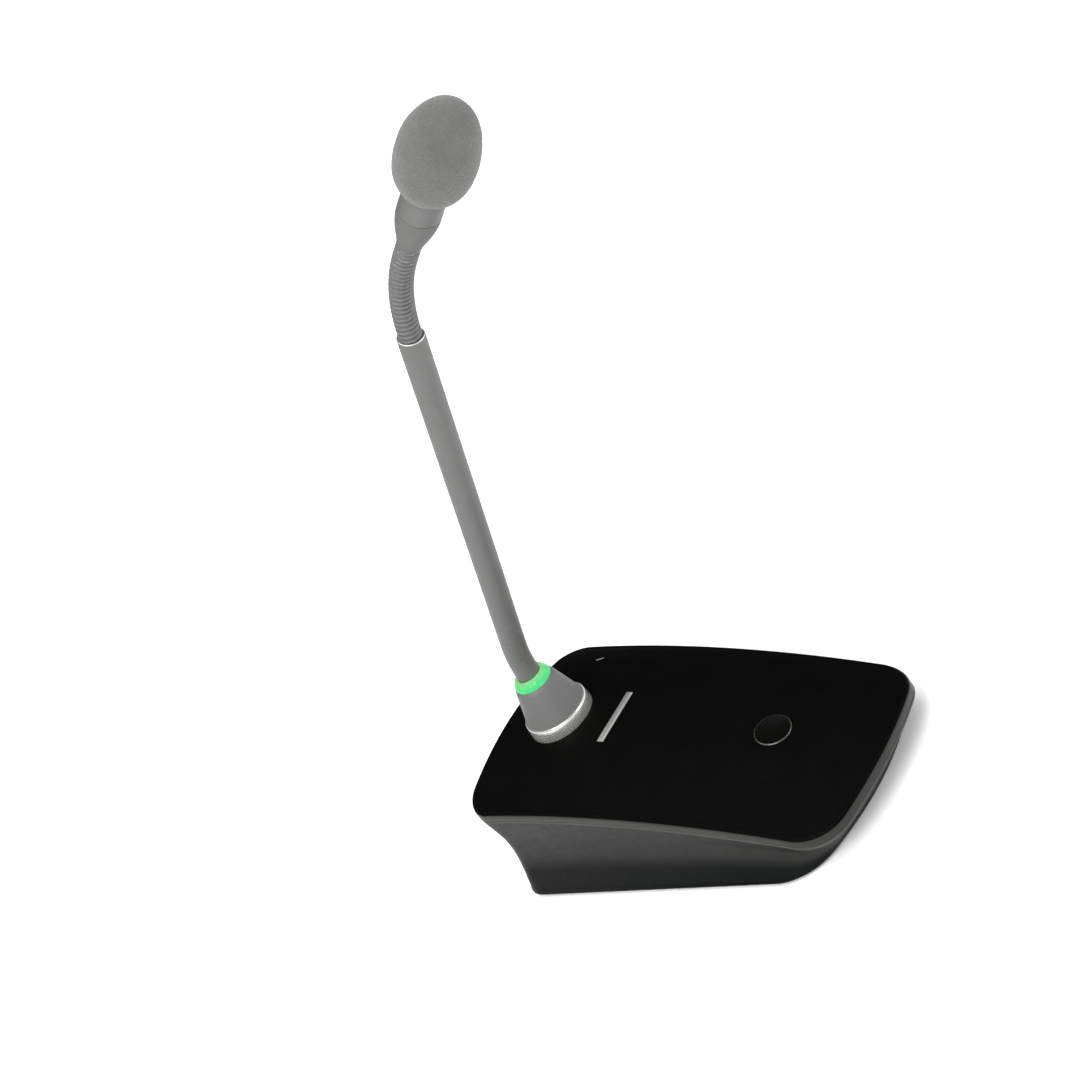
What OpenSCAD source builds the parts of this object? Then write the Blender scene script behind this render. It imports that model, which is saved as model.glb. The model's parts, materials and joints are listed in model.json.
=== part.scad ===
// Desktop gooseneck microphone: a weighted wireless base with a plug-in, two-flex neck.
// Millimetres. Origin: centre of the footprint on the table. -Y faces the person speaking, +X is
// that person's right, +Z is up. The cover has its own tilted frame, with its origin where the
// neck's axis meets the cover's surface.

/* [Base] */
// Half-width of the cover at the rear
cover_w_rear = 34.8; // [33:0.1:36]
// Half-width of the cover at the front
cover_w_front = 32.0; // [30:0.1:33]
// From the neck axis to the cover's rear edge
cover_rear = 22.9; // [21:0.1:24]
// From the neck axis to the cover's front edge
cover_front = 110.5; // [106:0.5:114]
// Forward tilt of the cover at the neck, in degrees
cover_tilt = 7; // [6:0.5:8]
// Height of the cover's surface at the neck axis
collar_h = 38.8; // [37.5:0.1:41]
// Lengthwise radius of the arched cover
arch_r = 459; // [420:1:520]
// Crosswise radius of the crowned cover
crown_r = 111; // [100:1:130]
// Thickness of the cover
cover_t = 2.2; // [1.8:0.1:2.6]
// Height of the cover's edge band
band_h = 2.8; // [2.5:0.1:4]
// Half-width of the footprint at the rear
foot_w_rear = 37.5; // [35:0.1:38]
// Half-width of the footprint at the front
foot_w_front = 36.4; // [33:0.1:37]
// Length of the footprint
foot_len = 126.5; // [122:0.5:128]
// How far the footprint reaches behind the neck axis
foot_rear = 27.3; // [25.5:0.1:28.5]
// How far the waist of the shell pulls in
waist_in = 1.7; // [0:0.1:2.5]

/* [Controls] */
// Distance of the mute button ahead of the neck axis
button_y = 76.9; // [70:0.5:82]
// Radius of the mute button
button_r = 5.6; // [5:0.1:6.5]
// Travel of the mute button
button_travel = 0.8; // [0.4:0.1:1]
// Length of the blank name bar
bar_len = 19.4; // [14:0.2:24]

/* [Neck] */
// Radius of the smooth tube
tube_r = 3.75; // [3.6:0.05:4]
// Length of the neck from the collar to the top of the smooth tube
tube_len = 135.2; // [110:0.1:150]
// Lean of the smooth tube from the collar's axis, in degrees
tube_lean = 23.6; // [15:0.2:28]
// Lean of the microphone head from the collar's axis, in degrees
head_lean = 53.2; // [40:0.2:60]
// Radius of the ribbed upper flex
flex_r = 3.15; // [3:0.05:3.4]

/* [Head] */
// Radius of the foam windscreen
foam_r = 9.75; // [9:0.05:11]
// Length of the foam windscreen
foam_len = 31.9; // [28:0.1:36]

/* [Hidden] */

$fn = 64;
// Running clearance around pins and balls, the gap left between touching pieces, and the seam
// between the cover and the shell.
clear = 0.05;
gap = 0.05;
seam = 0.15;
wall = 2;
// Height of the shell's lower edge over the table: the rubber rim stands proud by this much.
foot_h = 0.5;
collar_y = foot_len/2 - foot_rear;
corner_rear = 9;
corner_front = 14.5;
front_bow_r = 78;

// Base: floor plate, board and battery.
floor_t = 2;
floor_low = foot_h + 0.3;
floor_top = floor_low + floor_t;
// Insets of the floor plate from the footprint: at the rear corners, at the front corners, at the
// rear edge and at the front edge.
plate_in = [3.3, 5.4, 3.4, 2.9];
post_r = 3;
screw_r = 1.25;
board_z = 13.2;
board_t = 1.2;
board_w = 54;
board_l = 68;
board_y = 12;
battery_size = [36, 52, 7.6];
battery_y = 6;
battery_low = floor_top + 0.4;
door_size = [40, 52];
door_t = 1.5;
hinge_y = battery_y - door_size[1]/2 - 2.6;
hinge_z = foot_h + 1.1;
hinge_r = 0.5;
switch_y = -48;

// Collar, socket and plug.
seat_z = -0.8;
ring_r = 10.75;
ring_h = 3.75;
ring_bore = 8.2;
boss_r = 8.1;
cone_top = 15.6;
cone_top_r = 6.5;
light_top = 18.6;
light_r = 6.05;
light_top_r = 4.6;
plug_r = 5.4;
plug_end = -12;
pin_ring = 3;
pin_r = 0.5;

// Neck: pivots of the two flexible sections, measured along the centre line.
bend_z = 15.3;
bend_r = 38.3;
lower_first = 4.8;
lower_pitch = 4;
lower_n = 6;
upper_first = tube_len + 1.8;
upper_pitch = 2.92;
upper_n = 10;
upper_bend_r = (upper_n - 1)*upper_pitch*180/PI/(head_lean - tube_lean);
lower_ball = 2;
upper_ball = 1.7;
upper_skirt = 0.55;

// Mute button.
cap_t = 1.9;
flange_z = -2.75;
plunger_low = -9.3;
plunger_r = 1.2;

// ------------------------------------------------------------------ frames and curves

// Height of the crowned surface, moved outward by d, over the point x, y of the cover's frame.
function crown_z(x, y, d) =
    -arch_r + sqrt(pow(arch_r - crown_r + sqrt(pow(crown_r + d, 2) - x*x), 2) - y*y);

// The cover's frame: z is square to the cover at the neck axis.
module cover_frame() {
    translate([0, collar_y, collar_h]) rotate([cover_tilt, 0, 0]) children();
}

// A point of the cover's frame, in the part's frame.
function to_part(p) = [
    p[0],
    collar_y + p[1]*cos(cover_tilt) - p[2]*sin(cover_tilt),
    collar_h + p[1]*sin(cover_tilt) + p[2]*cos(cover_tilt)];

// Everything below the crowned surface moved outward by d: a slice of a very large ring.
module crown(d) {
    translate([0, 0, -arch_r]) rotate([0, 90, 0])
        rotate_extrude($fn = 360) translate([arch_r - crown_r, 0]) rotate(180)
            circle(r = crown_r + d, $fn = 180);
}

// Frame standing square on the cover's surface at a distance y from the neck axis.
module on_cover(y) {
    cover_frame() translate([0, y, crown_z(0, y, 0)]) rotate([asin(-y/arch_r), 0, 0]) children();
}

function arc_pts(c, r, a0, a1, n) = [for (i = [0:n]) let (a = a0 + (a1 - a0)*i/n)
    [c[0] + r*cos(a), c[1] + r*sin(a)]];
function mid_pts(p, q, n) = [for (i = [1:n]) p + (q - p)*i/(n + 1)];
function flip(pts) = [for (i = [len(pts) - 1:-1:0]) [-pts[i][0], pts[i][1]]];

// Rounded, tapered outline: half-widths wr and wf, rear and front edges yr and yf, corner radii
// rr and rf, and a front edge bowed to front_bow_r. Runs from the rear centre round by +X.
function outline_half(wr, wf, yr, yf, rr, rf) =
    let (bow = front_bow_r, cx = wf - rf, yb = yf + bow,
         cy = yb - sqrt(pow(bow - rf, 2) - cx*cx),
         a = atan2(cx, yb - cy),
         rear = arc_pts([wr - rr, yr - rr], rr, 90, 0, 8),
         front = arc_pts([cx, cy], rf, 0, a - 90, 9))
    concat([[0, yr]], mid_pts([0, yr], rear[0], 3), rear, mid_pts(rear[8], front[0], 11), front,
        [for (i = [3:-1:1]) let (b = a*i/4) [bow*sin(b), yb - bow*cos(b)]], [[0, yf]]);
function outline(wr, wf, yr, yf, rr, rf) =
    let (h = outline_half(wr, wf, yr, yf, rr, rf), m = flip(h))
    concat(h, [for (i = [1:len(m) - 2]) m[i]]);

function cover_outline(d) = outline(cover_w_rear - d, cover_w_front - d, cover_rear - d,
    -cover_front + d, corner_rear - d, corner_front - d);
// Outline of the floor plate, moved inward by d.
function plate_outline(d) = outline(foot_w_rear - plate_in[0] - d, foot_w_front - plate_in[1] - d,
    foot_len/2 - plate_in[2] - d, -foot_len/2 + plate_in[3] + d, corner_rear - 1 - d, corner_front - 1 - d);
function foot_outline(d) = outline(foot_w_rear - d, foot_w_front - d, foot_len/2 - d,
    -foot_len/2 + d, corner_rear + 1 - d, corner_front + 1 - d);

// Neck centre line: position [y, z] and lean at a distance s along it, in the cover's frame.
bend_len = bend_r*tube_lean*PI/180;
function lean_at(s) = s < bend_len ? s/bend_r*180/PI
    : s < upper_first ? tube_lean
    : min(head_lean, tube_lean + (s - upper_first)/upper_bend_r*180/PI);
upper_end = upper_first + (upper_n - 1)*upper_pitch;
function arc_end(r, a0, a1) = [-r*(cos(a0) - cos(a1)), r*(sin(a1) - sin(a0))];
function neck_at(s) = s < bend_len ? [0, bend_z] + arc_end(bend_r, 0, lean_at(s))
    : s < upper_first ? neck_at(bend_len - 0.0001) + (s - bend_len)*[-sin(tube_lean), cos(tube_lean)]
    : s < upper_end ? neck_at(upper_first - 0.0001) + arc_end(upper_bend_r, tube_lean, lean_at(s))
    : neck_at(upper_end - 0.0001) + (s - upper_end)*[-sin(head_lean), cos(head_lean)];
function chord_lean(s, pitch) = let (v = neck_at(s + pitch) - neck_at(s)) atan2(-v[0], v[1]);

// Frame at a distance s along the neck, with z pointing along it.
module on_neck(s) {
    cover_frame() translate([0, neck_at(s)[0], neck_at(s)[1]]) rotate([lean_at(s), 0, 0]) children();
}
// Frame of a link whose pivots are at s and s + pitch.
module on_link(s, pitch) {
    cover_frame() translate([0, neck_at(s)[0], neck_at(s)[1]])
        rotate([chord_lean(s, pitch), 0, 0]) children();
}

// ------------------------------------------------------------------ shared shapes

module tube_shape(r, bore, z0, z1) {
    translate([0, 0, z0]) difference() {
        cylinder(r = r, h = z1 - z0);
        translate([0, 0, -1]) cylinder(r = bore, h = z1 - z0 + 2);
    }
}

// Two stub pins of a flex joint, along X (turned = false) or Y.
module stub_pins(r, inner, outer, turned) {
    for (side = [0, 180])
        rotate([0, 0, side + (turned ? 90 : 0)]) translate([inner, 0, 0]) rotate([0, 90, 0])
            cylinder(r = r, h = outer - inner, $fn = 32);
}

// The cupped lower end of a link: cavity for the ball below, and holes for its stub pins. The ball
// belongs to a link that leans by tip relative to this one.
module cup_cut(ball, outer, pin, turned, tip) {
    sphere(r = ball + clear);
    rotate([tip, 0, 0]) stub_pins(pin + clear, ball - 0.3, outer + 1, turned);
}

// The ball end of a link, on a stalk that rises from z0 to the ball's centre at z1.
module ball_end(ball, stalk, z0, z1, pin, pin_out, turned) {
    translate([0, 0, z0]) cylinder(r = stalk, h = z1 - z0);
    translate([0, 0, z1]) sphere(r = ball);
    translate([0, 0, z1]) stub_pins(pin, ball - 0.4, pin_out, turned);
}

// One link of a flexible section. Its own pivot is at z = 0 and the next is at z = pitch.
module flex_link(outer, pitch, ball, bore, skirt, shoulder, pin, turned, tip) {
    difference() {
        union() {
            translate([0, 0, -skirt]) cylinder(r = outer, h = skirt + shoulder);
            ball_end(ball, ball - 0.45, shoulder - 0.1, pitch, pin, outer - 0.3, !turned);
        }
        cup_cut(ball, outer, pin, turned, tip);
        translate([0, 0, -skirt - 1]) cylinder(r = bore, h = pitch + 2*ball + 2);
    }
}

module lower_link(i) {
    s = lower_first + (i - 1)*lower_pitch;
    below = i == 1 ? lean_at(s) : chord_lean(s - lower_pitch, lower_pitch);
    color("dimgray") on_link(s, lower_pitch)
        flex_link(tube_r - 0.05, lower_pitch, lower_ball, 1.1, 0.8, 1.8, 0.4, i % 2 == 0,
            below - chord_lean(s, lower_pitch));
}

module upper_link(i) {
    s = upper_first + (i - 1)*upper_pitch;
    below = i == 1 ? tube_lean : chord_lean(s - upper_pitch, upper_pitch);
    color("gray") on_link(s, upper_pitch)
        flex_link(flex_r, upper_pitch, upper_ball, 0.9, upper_skirt, 1.5, 0.3, i % 2 == 0,
            below - chord_lean(s, upper_pitch));
}

// ------------------------------------------------------------------ base

// Vertical posts that hang from the cover and take the case screws.
post_at = [[27, 40], [-27, 40], [24, -41], [-24, -41]];

module cover_skin() {
    difference() {
        intersection() {
            translate([0, 0, -40]) linear_extrude(60) polygon(cover_outline(0));
            crown(0);
        }
        intersection() {
            translate([0, 0, -41]) linear_extrude(62) polygon(cover_outline(wall));
            crown(-cover_t);
        }
        crown(-band_h);
    }
}

module top_cover() {
    color("black") difference() {
        union() {
            cover_frame() cover_skin();
            // Flat pad under the cover for the neck socket.
            cover_frame() intersection() {
                translate([0, 0, -3.3]) cylinder(r = 13, h = 5);
                crown(-1);
            }
            // Screw posts, cut to the cover's underside.
            intersection() {
                for (p = post_at) translate([p[0], p[1], floor_top + gap]) cylinder(r = post_r, h = 45);
                cover_frame() crown(-1);
            }
        }
        for (p = post_at) translate([p[0], p[1], 0]) cylinder(r = screw_r - 0.2, h = 11);
        cover_frame() translate([0, 0, -9]) cylinder(r = 9, h = 20);
        cover_frame() translate([0, 0, seat_z]) cylinder(r = ring_r + gap, h = 20);
        on_cover(-button_y) translate([0, 0, -9]) cylinder(r = button_r + 0.15, h = 20);
        cover_frame() light_slot(clear, -12, 20);
        cover_frame() translate([-bar_len/2 - clear, bar_y - bar_w/2 - clear, -1.9])
            cube([bar_len + 2*clear, bar_w + 2*clear, 6]);
    }
}

// Lower shell: the outline flows from the cover's edge, in to a waist, and out to the footprint.
shell_levels = [0, 0.04, 0.12, 0.22, 0.32, 0.42, 0.52, 0.62, 0.72, 0.82, 0.91, 0.97, 1];
shell_low = 0.8;

// Share of the way from the cover's outline to the footprint at a height share t.
function flow(t) = t < 0.3 ? 0.35*t : 0.105 + 0.895*pow((t - 0.3)/0.7, 1.25);
function waist(t) = waist_in*pow(sin(180*min(1, t/0.98)), 1.3);

// The shell's surface, inset by d, at a height share t: one closed ring of points.
function shell_ring(t, d) =
    let (top = cover_outline(d + waist(t) + (t == 0 ? 0.25 : 0)), low = foot_outline(d + waist(t)
            + (t == 1 ? shell_low : t > 0.96 ? 0.25*shell_low : 0)), k = flow(t))
    [for (i = [0:len(top) - 1])
        let (a = to_part([top[i][0], top[i][1], crown_z(top[i][0], top[i][1], -band_h - seam)]),
             b = [low[i][0], low[i][1], foot_h])
        [a[0] + (b[0] - a[0])*k, a[1] + (b[1] - a[1])*k, a[2] + (b[2] - a[2])*t]];

module lower_shell() {
    outer = [for (t = shell_levels) shell_ring(t, 0)];
    inner = [for (t = [1, 0.8, 0.6, 0.4, 0.2, 0]) shell_ring(t, wall)];
    rings = concat(outer, inner);
    m = len(rings);
    n = len(rings[0]);
    points = [for (r = rings) each r];
    faces = [for (j = [0:m - 1]) for (i = [0:n - 1])
        let (k = (i + 1) % n, l = (j + 1) % m) [j*n + i, j*n + k, l*n + k, l*n + i]];
    color("dimgray") polyhedron(points = points, faces = faces, convexity = 6);
}

// The rubber rim runs between these insets from the floor plate's edge.
rim_in = 0.9;
rim_out = 3.1;
rim_top = foot_h + 0.95;
standoff_at = [[19, 42], [-19, 42], [23, -18], [-23, -18]];
charge_at = [-8, 0, 8];
charge_y = 50;

module base_plate() {
    color("dimgray") difference() {
        union() {
            translate([0, 0, floor_low]) linear_extrude(floor_t) polygon(plate_outline(0));
            for (p = standoff_at)
                translate([p[0], p[1], foot_h + 1]) cylinder(r = 2.4, h = board_z - foot_h - 1 - gap);
        }
        for (p = standoff_at) translate([p[0], p[1], floor_top + 1]) cylinder(r = 0.9, h = 20);
        for (p = post_at) {
            translate([p[0], p[1], -1]) cylinder(r = screw_r + 0.15, h = 9);
            translate([p[0], p[1], -1]) cylinder(r = 2.6, h = 1 + foot_h + 1.7);
        }
        translate([0, 0, -1]) linear_extrude(1 + rim_top + gap) rim_outline(rim_in - gap, rim_out + gap);
        // Battery opening and the slot for the hinge barrels.
        translate([-door_size[0]/2 - 0.2, battery_y - door_size[1]/2 - 0.2, -1])
            cube([door_size[0] + 0.4, door_size[1] + 0.4, 9]);
        for (x = [-1, 1]) translate([x*12 - 4.2, hinge_y - 1.3, -1]) cube([8.4, 4.2, 9]);
        translate([-22, hinge_y, hinge_z]) rotate([0, 90, 0]) cylinder(r = hinge_r + clear, h = 44, $fn = 32);
        translate([-3.2, switch_y - 1.6, -1]) cube([6.4, 3.2, 9]);
        for (x = charge_at) translate([x - 2.05, charge_y - 3.05, -1]) cube([4.1, 6.1, 9]);
    }
}

// One rubber rim near the edge of the floor plate, sunk in a groove, carries the whole stand.
module rim_outline(inner, outer) {
    difference() {
        polygon(plate_outline(inner));
        polygon(plate_outline(outer));
    }
}

module rubber_rim() {
    color("black") linear_extrude(rim_top) rim_outline(rim_in, rim_out);
}

module case_screws() {
    color("silver") for (p = post_at) translate([p[0], p[1], foot_h + 0.6]) {
        difference() {
            cylinder(r = 2.4, h = 1.05);
            translate([0, 0, -1]) cylinder(r = 1, h = 1.6, $fn = 6);
        }
        cylinder(r = screw_r - 0.25, h = 8);
    }
}

// Steel slab that keeps the light base from tipping under the neck.
module steel_weight() {
    color("gray") difference() {
        translate([-28, -57, floor_top + gap]) cube([56, 29, 3]);
        for (p = post_at) translate([p[0], p[1], 0]) cylinder(r = post_r + 0.5, h = 20);
        translate([-5, switch_y - 4, 0]) cube([10, 8, 20]);
        for (side = [-1, 1]) translate([side*28 - 6, -57 - 6, 0]) cube([12, 12, 20]);
    }
}

module main_board() {
    color("darkgreen") difference() {
        translate([-board_w/2, board_y - board_l/2, board_z]) cube([board_w, board_l, board_t]);
        for (p = standoff_at) translate([p[0], p[1], board_z - 1]) cylinder(r = 1.1, h = 4);
        for (p = post_at) translate([p[0], p[1], board_z - 1]) cylinder(r = post_r + 0.6, h = 4);
    }
}

module board_screws() {
    color("silver") for (p = standoff_at) {
        translate([p[0], p[1], board_z + board_t + gap]) cylinder(r = 1.9, h = 1);
        translate([p[0], p[1], board_z - 5]) cylinder(r = 0.85, h = 7);
    }
}

module radio_shield() {
    color("silver") translate([-13, board_y - 26, board_z + board_t + gap]) difference() {
        cube([26, 20, 2.6]);
        translate([0.4, 0.4, -1]) cube([25.2, 19.2, 3.3]);
    }
}

// Two folded metal antennas at the front corners of the board.
module antennas() {
    color("goldenrod") for (side = [-1, 1]) {
        translate([side*18 - 0.25, board_y - 28, board_z + board_t + gap]) cube([0.5, 3, 4]);
        translate([side*18 - 0.25, board_y - 28, board_z + board_t + gap + 3.5]) cube([0.5, 14, 0.5]);
    }
}

module battery_pack() {
    color("silver") translate([-battery_size[0]/2, battery_y - battery_size[1]/2 + 1, battery_low])
        cube([battery_size[0], battery_size[1] - 2, battery_size[2]]);
}

module battery_contacts() {
    color("gold") for (x = [-6, 0, 6])
        translate([x - 1, battery_y + 18, battery_low + battery_size[2] + gap])
            cube([2, 5, board_z - battery_low - battery_size[2] - 2*gap]);
}

module battery_door() {
    color("dimgray") difference() {
        union() {
            translate([-door_size[0]/2, battery_y - door_size[1]/2, floor_low])
                cube([door_size[0], door_size[1], door_t]);
            for (x = [-1, 1]) {
                translate([x*12 - 4, hinge_y, hinge_z]) rotate([0, 90, 0]) cylinder(r = 1.1, h = 8);
                translate([x*12 - 4, hinge_y, foot_h + 0.6]) cube([8, 3, 1]);
            }
        }
        translate([-22, hinge_y, hinge_z]) rotate([0, 90, 0]) cylinder(r = hinge_r + clear, h = 44, $fn = 32);
        // Finger groove near the free edge.
        translate([-8, battery_y + door_size[1]/2 - 5, foot_h - 0.4]) cube([16, 2.4, 1.2]);
    }
}

module door_pin() {
    color("silver") translate([-18, hinge_y, hinge_z]) rotate([0, 90, 0])
        cylinder(r = hinge_r, h = 36, $fn = 32);
}

module charge_contacts() {
    color("gold") for (x = charge_at) translate([x - 2, charge_y - 3, foot_h + 0.2]) cube([4, 6, 1.6]);
}

module power_switch_body() {
    color("darkslategray") difference() {
        translate([-4.5, switch_y - 3.2, floor_top + gap]) cube([9, 6.4, 3.4]);
        translate([-3.2, switch_y - 1.6, floor_top - 1]) cube([6.4, 3.2, 3]);
    }
}

module power_switch_knob() {
    color("black") translate([-3, switch_y - 1.5, foot_h + 0.4]) cube([4, 3, 3.6]);
}

// ------------------------------------------------------------------ controls on the cover

light_x = 26;
light_y = 2.6;
light_len = 2.7;
light_w = 0.7;
light_turn = -61;
light_top_z = -3.05;
bar_y = -21.6;
bar_w = 2.3;
bar_lift = 0.22;

module mute_button() {
    color("black") on_cover(-button_y) difference() {
        union() {
            translate([0, 0, -cap_t]) cylinder(r = button_r, h = cap_t - 0.12);
            translate([0, 0, flange_z - 1]) cylinder(r = button_r + 1, h = 1);
            translate([0, 0, flange_z - 0.5]) cylinder(r = button_r - 0.4, h = 1.5);
            translate([0, 0, -7]) cylinder(r = 1.6, h = 4);
        }
        // Shallow finger dish.
        translate([0, 0, 31.4]) sphere(r = 32, $fn = 180);
    }
}

module switch_plunger() {
    color("white") on_cover(-button_y) translate([0, 0, plunger_low])
        cylinder(r = plunger_r, h = 2.25);
}

module switch_body() {
    color("darkslategray") on_cover(-button_y) difference() {
        translate([-3, -3, -11.2]) cube([6, 6, 3.1]);
        // Bore for the plunger, deep enough for its travel.
        translate([0, 0, plunger_low - button_travel - 0.1]) cylinder(r = plunger_r + 0.1, h = 4);
    }
}

module switch_board() {
    color("darkgreen") on_cover(-button_y) difference() {
        translate([-9, -7, -12.3]) cube([18, 14, 1.05]);
        for (x = [-7, 7]) translate([x, 0, -14]) cylinder(r = 0.9, h = 4);
    }
}

// Flat ribbon from the switch board back to the main board.
module switch_ribbon() {
    top = board_z + board_t + gap;
    edge = board_y - board_l/2;
    color("orange") translate([-4, 0, 0]) rotate([90, 0, 90]) linear_extrude(8)
        polygon([[edge - 9.8, top - 0.85], [edge - 7.4, top - 0.15], [edge, top], [edge + 5, top],
            [edge + 5, top + 0.25], [edge, top + 0.25], [edge - 7.5, top + 0.1], [edge - 9.9, top - 0.6]]);
}

// Slot with round ends, centred on the status light and turned with the cover's edge.
module light_slot(grow, z0, h) {
    translate([light_x, light_y, z0]) rotate([0, 0, light_turn]) {
        for (side = [-1, 1]) translate([side*(light_len - light_w)/2, 0, 0])
            cylinder(r = light_w/2 + grow, h = h, $fn = 32);
        translate([-(light_len - light_w)/2, -light_w/2 - grow, 0])
            cube([light_len - light_w, light_w + 2*grow, h]);
    }
}

module status_light_pipe() {
    color("white") cover_frame() light_slot(0, -9, 9 + light_top_z);
}

// Its top is one cylinder across the cover, a little proud of the crown.
module name_bar() {
    drop = crown_z(0, bar_y, 0);
    color("silver") cover_frame() intersection() {
        translate([-bar_len/2, bar_y - bar_w/2, -1.85]) cube([bar_len, bar_w, 6]);
        translate([0, bar_y - bar_w, drop + bar_lift - crown_r]) rotate([-90, 0, 0])
            cylinder(r = crown_r, h = 2*bar_w, $fn = 720);
    }
}

// ------------------------------------------------------------------ neck socket and plug

module socket_ring() {
    color("silver") cover_frame() rotate_extrude($fn = 96) polygon([
        [ring_bore, seat_z + gap], [ring_r, seat_z + gap], [ring_r, ring_h - 0.85],
        [ring_r - 0.85, ring_h], [ring_bore, ring_h]]);
}

module neck_socket() {
    color("black") cover_frame() difference() {
        union() {
            tube_shape(8.9, ring_bore, -3.5, seat_z);
            tube_shape(12.5, ring_bore, -4.6, -3.35);
            tube_shape(10, plug_r + 0.15, -20, -4.6);
            tube_shape(10, ring_bore, -4.7, -4.5);
        }
        translate([0, 0, -5.2]) cylinder(r = ring_bore, h = 1);
    }
}

module socket_nut() {
    color("silver") cover_frame() difference() {
        translate([0, 0, -7.2]) cylinder(r = 12.6, h = 2.55, $fn = 6);
        translate([0, 0, -9]) cylinder(r = 10.05, h = 6);
    }
}

module socket_contacts() {
    color("gold") cover_frame() for (a = [45:90:315]) rotate([0, 0, a]) translate([pin_ring, 0, 0])
        tube_shape(1, pin_r + 0.08, -19.5, -12.6);
}

module collar_cone() {
    color("gray") cover_frame() difference() {
        rotate_extrude($fn = 96) polygon([
            [0, -4.2], [boss_r, -4.2], [boss_r, ring_h + gap], [9.75, ring_h + gap],
            [9.7, ring_h + 0.5], [cone_top_r + 0.12, cone_top - 0.75], [cone_top_r - 0.15, cone_top - 0.2],
            [cone_top_r - 0.5, cone_top], [0, cone_top]]);
        // Pocket for the light board, and the bore that holds the foot of the neck.
        translate([0, 0, cone_top - 2.4]) cylinder(r = 5.9, h = 5);
        translate([0, 0, -5]) cylinder(r = 3.2, h = 30);
    }
}

module plug_body() {
    color("black") cover_frame() difference() {
        translate([0, 0, plug_end]) cylinder(r = plug_r, h = -4.2 - gap - plug_end);
        for (a = [45:90:315]) rotate([0, 0, a]) translate([pin_ring, 0, plug_end - 1])
            cylinder(r = pin_r, h = 12, $fn = 32);
    }
}

module plug_pins() {
    color("gold") cover_frame() for (a = [45:90:315]) rotate([0, 0, a]) translate([pin_ring, 0, -18])
        cylinder(r = pin_r, h = 12, $fn = 32);
}

module light_board() {
    color("white") cover_frame() tube_shape(5.8, 4.0, cone_top - 2.35, cone_top - 1.5);
}

module light_ring() {
    color("lime") cover_frame() rotate_extrude($fn = 96) polygon([
        [4.2, cone_top - 1.4], [5.8, cone_top - 1.4], [5.8, cone_top + gap], [light_r, cone_top + gap],
        [light_r - 0.1, cone_top + 1.2], [light_top_r, light_top], [4.2, light_top]]);
}

// Foot of the neck, clamped in the cone, with the first ball of the lower flex.
module neck_foot() {
    color("dimgray") difference() {
        union() {
            cover_frame() translate([0, 0, cone_top - 12]) cylinder(r = 3.15, h = 13);
            on_neck(lower_first) {
                translate([0, 0, -4.4]) cylinder(r = tube_r - 0.05, h = 2.2);
                ball_end(lower_ball, lower_ball - 0.45, -3, 0, 0.4, tube_r - 0.4, false);
            }
        }
        on_neck(lower_first) translate([0, 0, -4]) cylinder(r = 1.1, h = 9);
        cover_frame() translate([0, 0, cone_top - 13]) cylinder(r = 1.1, h = 14);
    }
}

// ------------------------------------------------------------------ neck

module tube_socket_end() {
    s = lower_first + (lower_n - 1)*lower_pitch;
    color("dimgray") on_neck(s) difference() {
        union() {
            translate([0, 0, -0.8]) cylinder(r = tube_r - 0.05, h = 2.6);
            translate([0, 0, 1.7]) cylinder(r = 2.9, h = 8);
        }
        cup_cut(lower_ball, tube_r, 0.4, true, chord_lean(s - lower_pitch, lower_pitch) - tube_lean);
        translate([0, 0, -2]) cylinder(r = 1.1, h = 20);
    }
}

module neck_tube() {
    s = lower_first + (lower_n - 1)*lower_pitch;
    color("dimgray") on_neck(s) tube_shape(tube_r, 2.95, 1.85, tube_len - s);
}

module neck_cable() {
    s = lower_first + (lower_n - 1)*lower_pitch;
    color("black") on_neck(s) translate([0, 0, 2.5]) cylinder(r = cable_r, h = tube_len - s - 4);
}

module tube_lip() {
    color("silver") on_neck(tube_len) difference() {
        rotate_extrude() translate([3.38, 0.12]) circle(r = 0.34, $fn = 24);
        translate([0, 0, -1]) cylinder(r = 6, h = 1 + gap/2);
    }
}

module tube_ball_end() {
    color("gray") on_neck(tube_len) difference() {
        union() {
            translate([0, 0, -8]) cylinder(r = 2.9, h = 8);
            ball_end(upper_ball, upper_ball - 0.45, -1, upper_first - tube_len, 0.3, flex_r - 0.3, false);
        }
        translate([0, 0, -9]) cylinder(r = 0.95, h = 16);
    }
}

// ------------------------------------------------------------------ head

// Stations along the head, from its pivot.
boot_start = 4.8;
boot_end = 17.75;
barrel_end = 32.4;
foam_start = 22.3;
cable_r = 0.9;

module head_boot() {
    color("gray") on_neck(upper_end) difference() {
        rotate_extrude($fn = 64) polygon([
            [0, -upper_skirt], [flex_r, -upper_skirt], [flex_r, boot_start], [3.25, boot_start + 0.5],
            [3.75, boot_start + 2.7], [4.37, boot_start + 4.6], [4.89, boot_start + 6.6],
            [5.25, boot_start + 8.6], [5.45, boot_start + 10.6], [5.5, boot_end - 0.15],
            [5.42, boot_end], [0, boot_end]]);
        cup_cut(upper_ball, flex_r, 0.3, upper_n % 2 == 0,
            chord_lean(upper_end - upper_pitch, upper_pitch) - head_lean);
        translate([0, 0, -2]) cylinder(r = cable_r, h = 20);
        translate([0, 0, boot_end - 4.35]) cylinder(r = 4.2, h = 10);
    }
}

module head_barrel() {
    color("gray") on_neck(upper_end) difference() {
        union() {
            rotate_extrude($fn = 64) polygon([
                [0, boot_end + gap], [5.42, boot_end + gap], [5.48, boot_end + 0.2],
                [5.4, boot_end + 4.65], [5.35, boot_end + 7.25], [5.15, boot_end + 7.65],
                [5.15, barrel_end], [0, barrel_end]]);
            translate([0, 0, boot_end - 4.15]) cylinder(r = 4.15, h = 5);
        }
        translate([0, 0, boot_end - 8]) cylinder(r = 3.4, h = 17);
        translate([0, 0, barrel_end - 7]) cylinder(r = 4.75, h = 20);
    }
}

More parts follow.
